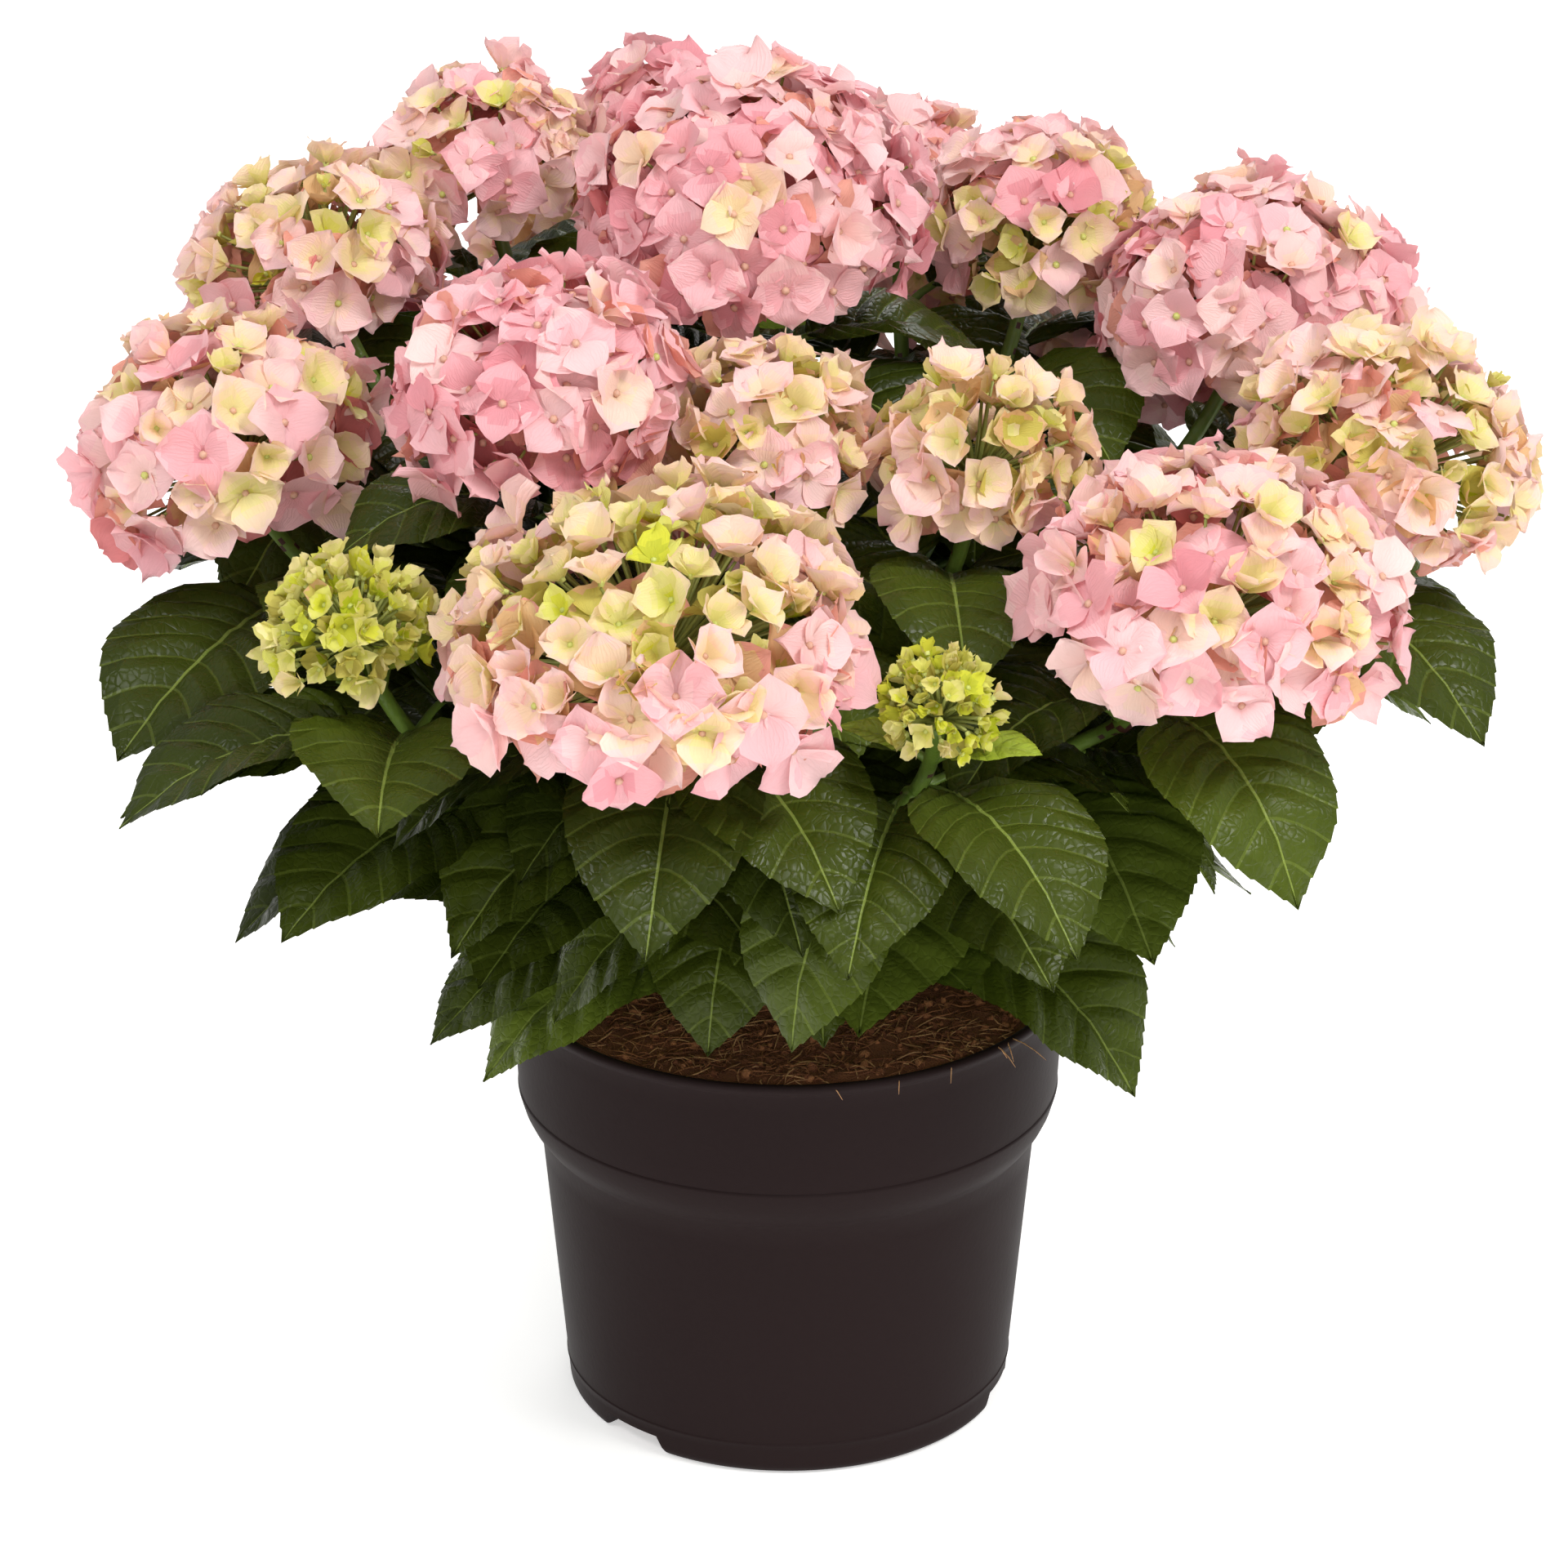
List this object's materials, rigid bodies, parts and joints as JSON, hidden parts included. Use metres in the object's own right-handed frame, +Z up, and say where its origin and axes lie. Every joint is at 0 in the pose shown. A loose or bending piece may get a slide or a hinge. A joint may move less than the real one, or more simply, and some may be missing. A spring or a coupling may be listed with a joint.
{
  "type": "potted hydrangea shrub",
  "caption": "Mophead hydrangea shrub with pink, cream and lime flower heads over dark toothed leaves, on woody stems in a round collared nursery pot.",
  "frame": {"origin": "middle of the pot's flat underside, on the ground", "axes": "+Z up along the pot's axis, -Y towards the front of the shrub, +X to its right seen from the front"},
  "size_m": [0.5776, 0.5937, 0.5637],
  "materials": {
    "pot_plastic": "satin moulded black polypropylene with a warm cast",
    "potting_mix": "loose brown coir and peat fibres",
    "bark": "pale brown ribbed bark with darker specks",
    "leaf": "dark green quilted leaves with a soft gloss and paler veins",
    "blossom_pink": "soft matt petals, rose pink with paler rims",
    "blossom_cream": "soft matt petals, cream opening to pink at the edges",
    "blossom_green": "soft matt buds and young petals, lime green"
  },
  "bodies": {
    "root": {"pot": "pot_plastic", "potting_mix": "potting_mix", "bough_front": "bark", "bough_front_bud": "bark", "bough_right_front": "bark", "bough_left": "bark", "bough_right": "bark", "bough_left_inner": "bark", "bough_middle": "bark", "bough_middle_right": "bark", "bough_top": "bark", "bough_right_high": "bark", "bough_left_high": "bark", "bough_left_rear": "bark", "bough_right_rear": "bark", "bough_rear_low_left": "bark", "bough_rear_left": "bark", "bough_rear_right": "bark", "bough_rear_low_right": "bark", "foliage_front": "leaf", "foliage_front_bud": "leaf", "foliage_right_front": "leaf", "foliage_left": "leaf", "foliage_right": "leaf", "foliage_left_inner": "leaf", "foliage_left_bud": "leaf", "foliage_middle": "leaf", "foliage_middle_right": "leaf", "foliage_top": "leaf", "foliage_right_high": "leaf", "foliage_left_high": "leaf", "foliage_left_rear": "leaf", "foliage_right_rear": "leaf", "foliage_rear_inner_left": "leaf", "foliage_rear_inner_right": "leaf", "foliage_rear_low_left": "leaf", "foliage_rear_left": "leaf", "foliage_rear_right": "leaf", "foliage_rear_low_right": "leaf", "flower_head_front": "blossom_cream", "flower_head_front_bud": "blossom_green", "flower_head_right_front": "blossom_pink", "flower_head_left": "blossom_pink", "flower_head_right": "blossom_cream", "flower_head_left_inner": "blossom_pink", "flower_head_left_bud": "blossom_green", "flower_head_middle": "blossom_cream", "flower_head_middle_right": "blossom_cream", "flower_head_top": "blossom_pink", "flower_head_right_high": "blossom_pink", "flower_head_left_high": "blossom_cream", "flower_head_left_rear": "blossom_cream", "flower_head_right_rear": "blossom_cream", "flower_head_rear_inner_left": "blossom_pink", "flower_head_rear_inner_right": "blossom_pink", "flower_head_rear_low_left": "blossom_pink", "flower_head_rear_left": "blossom_pink", "flower_head_rear_right": "blossom_cream", "flower_head_rear_low_right": "blossom_pink"}
  },
  "joints": []
}
